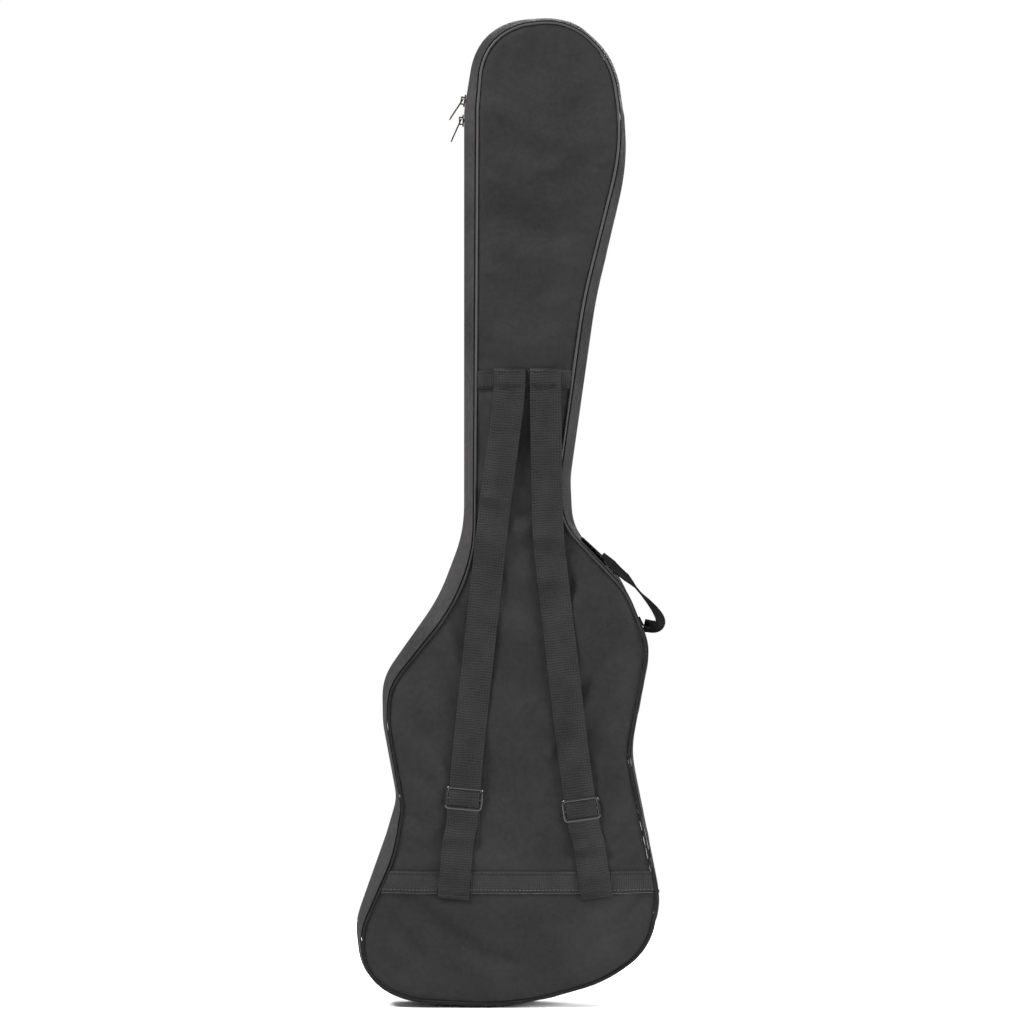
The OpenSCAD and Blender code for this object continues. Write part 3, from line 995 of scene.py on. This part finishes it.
def shoulder_strap(i, tree):
    """Strap from its sewn end, over the panel and through the buckle to its hemmed tail."""
    start = STRAP_LINES[i][0]
    line = smooth_path([(start[0], 1.0), (start[0], -12)] + STRAP_LINES[i], step=3.0, passes=50)
    centres = []
    for x, z in line:
        skin_y = min(surface_y(tree, x + w, z) for w in (-16, -8, 0, 8, 16))
        y = strap_depth(skin_y, z) - strap_bend(i, z)
        centres.append((x + tail_shift(i, z), y, z))
    centres = np.array(centres)
    relax(centres[:, 1], 2)
    centres[:, 1] = np.maximum(centres[:, 1], -13.0)
    line_3d = np.insert(line, 1, 0, axis=1)
    across = unit(np.cross(unit(np.gradient(line_3d, axis=0)), (0, 1, 0)))
    side = SIDES[i]
    name = f"shoulder_strap_{side}"
    strap = webbing(name + "_webbing", centres, -across, STRAP_WIDTH, 1.8, 21, 14)
    finish_piece(strap, WEBBING, None, name, f"strap_end_{side}", slot="webbing")
    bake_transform(strap)
    at = np.searchsorted(-centres[:, 2], 632)
    across_line = np.array([centres[at] + across[at] * w for w in np.linspace(-17, 17, 8)])
    across_line[:, 1] -= 1.9
    row = stitches(f"tail_stitching_{side}", across_line, (0, -1, 0), pitch=3.6, length=2.6)
    finish_piece(row, DARK_THREAD, f"strap_{side}")
    end_stitching(i, centres)


def end_stitching(i, centres):
    """Rows of stitching that hold the strap's end on the band."""
    x, w = STRAP_LINES[i][0][0], STRAP_WIDTH / 2 - 2.5
    side = SIDES[i]
    for k, z in enumerate((-3.0, -18.0, -20.5)):
        flat = np.linspace((x - w, z), (x + w, z), 8)
        depth = np.interp(-flat[:, 1], -centres[:, 2], centres[:, 1]) - 1.95
        line = np.column_stack([flat[:, 0], depth, flat[:, 1]])
        name = f"strap_end_stitching_{side}_{k}"
        row = stitches(name, line, (0, -1, 0), pitch=3.4, length=2.5)
        finish_piece(row, DARK_THREAD, "back_shell")


def last_run(i):
    """The two ends of a strap's last straight run."""
    return np.array(STRAP_LINES[i][2]), np.array(STRAP_LINES[i][3])


def down_run(i):
    """Direction of a strap's last run."""
    a, b = last_run(i)
    return unit(b - a)


def on_run(i, z):
    """x of a strap's centre line at height z on its last run."""
    a, b = last_run(i)
    return (a + (b - a) * (z - a[1]) / (b[1] - a[1]))[0]


# Half the length of the webbing's turn over the buckle's bar.
TURN_HALF = 9.4


def buckle_web(i):
    """Turn of webbing over the buckle's centre bar, seen through its frame."""
    down = down_run(i)
    middle = np.array((on_run(i, BUCKLE_Z[i]), BUCKLE_Z[i]))
    path = []
    for s in np.linspace(-TURN_HALF, TURN_HALF, 17):
        x, z = middle + down * s
        path.append((x, -7.55 - 1.15 * math.cos(math.pi / 2 * s / TURN_HALF) ** 1.5, z))
    across = (down[1], 0, -down[0])
    piece = webbing(f"buckle_web_{SIDES[i]}", path, across, STRAP_WIDTH - 0.6, 1.0)
    finish_piece(piece, WEBBING, f"adjuster_{SIDES[i]}", slot="webbing")


def buckle_ring():
    """Rounded rectangle of the buckle's frame, in its own plane."""
    ring = []
    for n, corner in enumerate(((-1, -1), (1, -1), (1, 1), (-1, 1))):
        hub = np.array(corner) * (np.array(BUCKLE_HALF) - BUCKLE_CORNER)
        for turn in np.radians(np.linspace(180, 270, 7) + 90 * n):
            ring.append(hub + BUCKLE_CORNER * np.array((math.cos(turn), math.sin(turn))))
    return ring


def buckle(i):
    """Moulded tri-glide: a rounded frame with a bar across its middle for the webbing's turn."""
    side = SIDES[i]
    low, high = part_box(f"buckle_{side}")
    centre = (Vector(low) + Vector(high)) * 500
    down = down_run(i)
    across = np.array((-down[1], down[0]))
    bar = [(u, 0.0) for u in np.linspace(-BUCKLE_HALF[0], BUCKLE_HALF[0], 9)]
    for name, line, closed, wide in (("frame", buckle_ring(), True, 2.3), ("bar", bar, False, 1.7)):
        flat = np.array(line)
        path = flat[:, :1] * across + flat[:, 1:] * down
        points = np.column_stack([path[:, 0], np.zeros(len(path)), path[:, 1]])
        piece = tube(f"buckle_{side}_{name}", points, wide, sides=16, closed=closed)
        co = vertices(piece)
        co[:, 1] *= 1.65 / wide
        set_vertices(piece, co + np.array(centre))
        modifier(piece, "SUBSURF", levels=1, render_levels=1)
        finish_piece(piece, BUCKLE, f"adjuster_{side}", slot="buckle_plastic")
    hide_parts(f"buckle_{side}")


def lower_web(i, tree):
    """Short web from the lower band up to the buckle, under the strap's tail."""
    path = []
    for z in np.linspace(BUCKLE_Z[i] + 2, LOW_BAND_TOP + 3.6, 20):
        lean = 3.2 * math.sin(math.pi * (z - LOW_BAND_TOP) / (BUCKLE_Z[i] - LOW_BAND_TOP))
        y = max(-3.4, min(-1.2, surface_y(tree, on_run(i, z), z) - 1.0))
        path.append((on_run(i, z) + lean, y, z))
    name = f"anchor_web_{SIDES[i]}"
    piece = webbing(name + "_webbing", smooth_path(path, 4), (1, 0, 0), STRAP_WIDTH - 1, 1.6)
    finish_piece(piece, WEBBING, f"lower_web_{SIDES[i]}", name, slot="webbing")


# ---- handle
HANDLE_LINE = [
    (91, -223.5), (97, -230), (104, -237.5), (111, -244.5), (119, -251),
    (128.5, -260.5), (138, -272), (147.5, -282), (155.5, -292), (161, -301),
    (162, -308.5), (156, -312.5), (141, -310),
]
# Turn of the webbing about its own length, in degrees, at shares of that length.
HANDLE_TWIST = [(0, 8), (0.12, 22), (0.3, 18), (0.42, 2), (0.5, 2), (0.75, 22), (0.88, 34), (1, 38)]
HANDLE_TABS = {
    "upper": [(66, -203.4), (90, -225.6), (94.5, -230)],
    "lower": [(135.2, -300), (139.5, -309.5), (143, -313), (148, -312.5)],
}


def handle():
    """Webbing loop of the carry handle and the two tabs that hold it."""
    line = smooth_path(HANDLE_LINE, step=2.0, passes=6)
    centres = np.insert(line, 1, HANDLE_DEPTH, axis=1)
    share = np.linspace(0, 1, len(centres))
    twist = np.radians(np.interp(share, *np.transpose(HANDLE_TWIST)))
    tangent = unit(np.gradient(centres, axis=0))
    flat = np.cross(tangent, (0, 1, 0))
    across = np.cos(twist)[:, None] * np.array((0, 1, 0)) + np.sin(twist)[:, None] * flat
    loop = webbing("carry_handle_webbing", centres, across, HANDLE_WIDTH, 2.2)
    finish_piece(loop, HANDLE_WEB, "handle", "carry_handle", slot="webbing")
    for name, tab in HANDLE_TABS.items():
        path = np.insert(smooth_path(tab, step=2.5, passes=3), 1, HANDLE_DEPTH, axis=1)
        piece = webbing(f"handle_tab_{name}_webbing", path, (0, 1, 0), HANDLE_WIDTH, 2.0)
        finish_piece(piece, HANDLE_WEB, "back_shell", f"handle_tab_{name}", slot="webbing")


# ---- lid and pocket
def lid():
    """Front panel and its piping."""
    line = inset(FRONT_LINE, PANEL_INSET)
    panel = padded_panel("front_panel_cloth", line, DEPTH - 0.6, 1, 3.0, 0.012, 53)
    finish_piece(panel, SHELL, "lid", "front_panel", "front_foam", slot="shell_fabric")
    piping("front_piping_cord", FRONT_LINE, DEPTH + 0.4, "lid", "front_piping")


def linings():
    """Loose linings inside the two large walls."""
    for name, line, y, facing, body in (
        ("back_lining", BACK_LINE, LINING_DEPTH, 1, "back_shell"),
        ("front_lining", FRONT_LINE, DEPTH - LINING_DEPTH, -1, "lid"),
    ):
        piece = panel_mesh(name + "_cloth", inset(line, LINING_INSET), y, 12.0, facing)
        co = vertices(piece)
        co[:, 1] += facing * np.array([0.8 + 0.8 * rumple(p, 70, 61) for p in co])
        set_vertices(piece, co)
        thicken(piece, 0.5)
        finish_piece(piece, LINING, body, name, slot="lining")


def pocket():
    """Zipped pocket on the front: face, top strip, side wall, piping and zip."""
    front = DEPTH + POCKET_DEPTH
    line = cut_line(inset(FRONT_LINE, POCKET_MARGIN), -BEYOND, POCKET_TOP)
    face_line = cut_line(line, -BEYOND, POCKET_ZIP - 6)
    face = padded_panel("pocket_face_cloth", face_line, front - 0.6, 1, 3.0, 0.02, 71, cap=6)
    finish_piece(face, SHELL, "lid", "pocket_face", slot="shell_fabric")
    top_line = cut_line(line, POCKET_ZIP + 6, BEYOND)
    strip = panel_mesh("pocket_top_cloth", top_line, front - 0.2, 6.0, 1)
    thicken(strip, SKIN)
    finish_piece(strip, SHELL, "lid", "pocket_top", slot="shell_fabric")
    pocket_wall(line, front)
    pipe = tube("pocket_piping_cord", at_depth(inset(line, 0.6), front - 0.2), 1.5, sides=8)
    finish_piece(pipe, PIPE, "lid", slot="piping")
    pocket_zip(line, front)


def pocket_wall(line, front):
    """Side wall of the pocket, which bulges a little halfway."""
    depths = np.linspace(DEPTH - 0.5, front - 0.3, 7)
    rows = [at_depth(line, y) for y in depths]
    normals = normals_of(line)
    for j, row in enumerate(rows):
        bulge = 1.6 * math.sin(j / 6 * math.pi)
        for i, q in enumerate(row):
            push = bulge * (0.6 + rumple((q[0], q[1] * 2, q[2]), 45, 81))
            row[i, 0] += normals[i, 0] * push
            row[i, 2] += normals[i, 1] * push
    run = lengths(rows[0])
    uv = [np.column_stack([np.full(len(run), y), run]) for y in depths]
    faces = grid_faces(len(depths), len(run), True)
    wall = new_object("pocket_gusset_cloth", rows, faces, uv)
    thicken(wall, SKIN)
    finish_piece(wall, GUSSET, "lid", "pocket_gusset", slot="shell_fabric")


def pocket_zip(line, front):
    """The pocket zip's two tapes and its teeth."""
    edge = cut_line(line, POCKET_ZIP - 1, POCKET_ZIP + 1)
    left, right = edge[:, 0].min() + 2, edge[:, 0].max() - 2
    for k, s in enumerate((-1, 1)):
        z = POCKET_ZIP + s * 5.2
        path = np.array([(x, front - 1.4, z) for x in np.arange(left, right, 6)])
        tape = webbing(f"pocket_tape_{k}", path, (0, 0, 1), 8.5, 0.8)
        finish_piece(tape, TAPE, "lid", slot="zip_tape")
        if k == 0:
            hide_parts("pocket_zip_tape")
    along, out, up = np.eye(3)
    teeth = []
    for n, x in enumerate(np.arange(left, right, TOOTH_PITCH)):
        place = np.array((x, front, POCKET_ZIP))
        teeth.append((place, out, along, up if n % 2 else -up, False))
    row = tooth_row("pocket_zip_teeth", teeth)
    finish_piece(row, COIL, "lid", "pocket_zip_coil", slot="coil")


# ---- hardware kept from the CAD
METAL = [
    "zip_slider_lower", "zip_slider_upper", "zip_pull_lower", "zip_pull_upper", "zip_end_stops",
    "pocket_slider", "pocket_pull",
]


def hardware():
    """Sliders, pulls and end stops, with their edges rounded."""
    for name in METAL:
        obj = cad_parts[name]
        obj.data.materials.clear()
        obj.data.materials.append(NICKEL)
        modifier(obj, "BEVEL", width=0.00035, segments=2, limit_method="ANGLE")


# ---- stage
# Strength of the white surroundings as a light; the camera sees them at 1.
FILL_LIGHT = 0.6
# Lamps: name, place in metres, power in watts and width in metres.
LAMPS = [
    ("left_box", (-2.2, -1.3, 2.3), 300, 1.0),
    ("right_box", (2.7, -1.2, 0.5), 150, 1.2),
    ("back_box", (0.4, 2.8, 1.6), 170, 2.0),
]
# What the camera looks at, and how wide its view is there, in metres.
VIEW_X, VIEW_Z, VIEW_SPAN = -0.0194, -0.1721, 1.2412


def pale_floor():
    """Matt floor just below the bag."""
    lowest = cad_box[0].z - 0.001
    size = Vector((1.6, 0.9))
    mesh = bpy.data.meshes.new("floor")
    corners = [(-size.x, -1.6), (size.x, -1.6), (size.x, size.y), (-size.x, size.y)]
    mesh.from_pydata([(x, y, lowest) for x, y in corners], [], [(0, 1, 2, 3)])
    floor = placed("floor", mesh)
    paint = Shader("floor_paint", (0.93, 0.93, 0.93), 0.8, specular=0.1)
    paint.shade(paint.noise(3, 2), (0.92, 0.92, 0.92), (0.94, 0.94, 0.94))
    mesh.materials.append(paint.material)


def white_surroundings():
    """World that lights softly and is seen as plain white."""
    world = bpy.data.worlds.new("studio")
    world.use_nodes = True
    sky = world.node_tree.nodes["Background"]
    sky.inputs["Color"].default_value = (1, 1, 1, 1)
    seen = world.node_tree.nodes.new("ShaderNodeLightPath").outputs["Is Camera Ray"]
    level = world.node_tree.nodes.new("ShaderNodeMapRange")
    level.inputs["To Min"].default_value = FILL_LIGHT
    world.node_tree.links.new(seen, level.inputs["Value"])
    world.node_tree.links.new(level.outputs["Result"], sky.inputs["Strength"])
    bpy.context.scene.world = world


def stage():
    """Floor, surroundings and three soft lamps aimed at the bag."""
    pale_floor()
    white_surroundings()
    bpy.context.scene.view_settings.view_transform = "Standard"
    for name, place, power, width in LAMPS:
        lamp = bpy.data.lights.new(name, "AREA")
        lamp.energy = power
        lamp.size = width
        obj = placed(name, lamp)
        obj.location = place
        aim = Vector((0, 0, -0.2)) - obj.location
        obj.rotation_euler = aim.to_track_quat("-Z", "Y").to_euler()


def camera():
    """Level camera facing the strap side, with the whole bag in view."""
    data = bpy.data.cameras.new("camera")
    data.sensor_width = 36
    data.lens = 120
    distance = VIEW_SPAN * data.lens / data.sensor_width
    obj = placed("camera", data)
    obj.location = (VIEW_X, -distance, VIEW_Z)
    obj.rotation_euler = (math.pi / 2, 0, 0)
    bpy.context.scene.camera = obj


camera()
stage()
panels = back_panels()
skin = surface_tree(*panels)
piping("back_piping_cord", BACK_LINE, -0.5, "back_shell", "back_piping")
gusset_half(-1, "back_shell", "rear")
gusset_half(1, "lid", "front")
hinge_cloth()
strips = bands(skin)
sewn_skin = surface_tree(*panels, *strips)
for n in (0, 1):
    shoulder_strap(n, sewn_skin)
    buckle(n)
    buckle_web(n)
    lower_web(n, skin)
handle()
lid()
linings()
pocket()
hardware()
